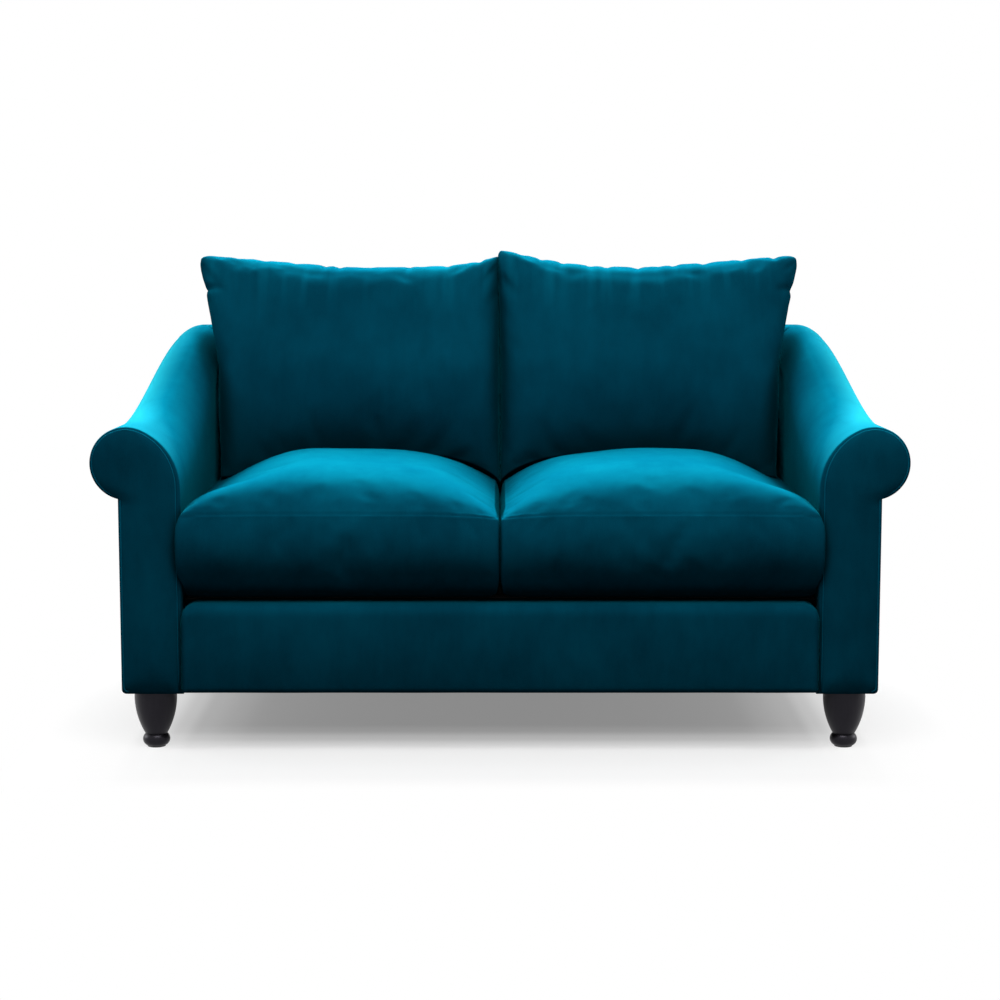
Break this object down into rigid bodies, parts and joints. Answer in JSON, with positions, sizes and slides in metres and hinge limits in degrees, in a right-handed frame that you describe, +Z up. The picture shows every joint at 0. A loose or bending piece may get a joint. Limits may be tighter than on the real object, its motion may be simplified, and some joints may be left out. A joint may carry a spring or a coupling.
{
  "type": "two-seat sofa",
  "caption": "Upholstered sofa with scroll arms that rise to the back, loose crowned seat cushions, loose back cushions and turned wooden legs.",
  "frame": {"origin": "on the floor, in the middle of the sofa's box", "axes": "+Z up, +X to the right of someone facing the sofa, the front faces -Y"},
  "size_m": [1.6, 0.93, 0.957],
  "materials": {
    "velvet": "short-pile teal velvet",
    "leg_wood": "satin black stained hardwood",
    "frame_timber": "planed, unfinished",
    "spring_steel": "oiled wire",
    "fixings": "zinc plated",
    "glides": "matt nylon",
    "webbing": "woven webbing",
    "dust_cloth": "black spun cloth",
    "deck_cloth": "plain platform cloth",
    "cushion_filling": "foam core and feather wrap"
  },
  "bodies": {
    "frame": {"front_rail": "frame_timber", "rear_seat_rail": "frame_timber", "centre_seat_rail": "frame_timber", "left_seat_side_rail": "frame_timber", "right_seat_side_rail": "frame_timber", "back_top_rail": "frame_timber", "back_bottom_rail": "frame_timber", "corner_blocks": "frame_timber", "seat_springs": "spring_steel", "spring_clips": "spring_steel", "back_webbing": "webbing", "seat_deck": "deck_cloth", "dust_cover": "dust_cloth", "front_border": "velvet", "back_pad": "velvet", "back_border": "velvet", "outside_back_panel": "velvet", "front_left_leg": "leg_wood", "front_right_leg": "leg_wood", "rear_left_leg": "leg_wood", "rear_right_leg": "leg_wood", "leg_bolts": "fixings", "leg_nuts": "fixings", "leg_glides": "glides", "left_arm_top_rail": "frame_timber", "left_arm_base_rail": "frame_timber", "left_front_post": "frame_timber", "left_arm_inner_panel": "frame_timber", "left_rear_post": "frame_timber", "left_arm_upholstery": "velvet", "left_arm_facing": "velvet", "left_arm_piping": "velvet", "right_arm_top_rail": "frame_timber", "right_arm_base_rail": "frame_timber", "right_front_post": "frame_timber", "right_arm_inner_panel": "frame_timber", "right_rear_post": "frame_timber", "right_arm_upholstery": "velvet", "right_arm_facing": "velvet", "right_arm_piping": "velvet"},
    "left_seat_cushion": {"left_seat_cushion_cover": "velvet", "left_seat_cushion_core": "cushion_filling"},
    "left_back_cushion": {"left_back_cushion_cover": "velvet", "left_back_cushion_core": "cushion_filling"},
    "right_seat_cushion": {"right_seat_cushion_cover": "velvet", "right_seat_cushion_core": "cushion_filling"},
    "right_back_cushion": {"right_back_cushion_cover": "velvet", "right_back_cushion_core": "cushion_filling"}
  },
  "joints": [
    {"name": "left_seat_cushion_slide", "type": "slide", "parent": "frame", "child": "left_seat_cushion", "axis": [0, -1, 0], "range_m": [0, 0.8]},
    {"name": "left_back_cushion_lift", "type": "slide", "parent": "frame", "child": "left_back_cushion", "axis": [0, 0, 1], "range_m": [0, 0.5]},
    {"name": "right_seat_cushion_slide", "type": "slide", "parent": "frame", "child": "right_seat_cushion", "axis": [0, -1, 0], "range_m": [0, 0.8]},
    {"name": "right_back_cushion_lift", "type": "slide", "parent": "frame", "child": "right_back_cushion", "axis": [0, 0, 1], "range_m": [0, 0.5]}
  ]
}
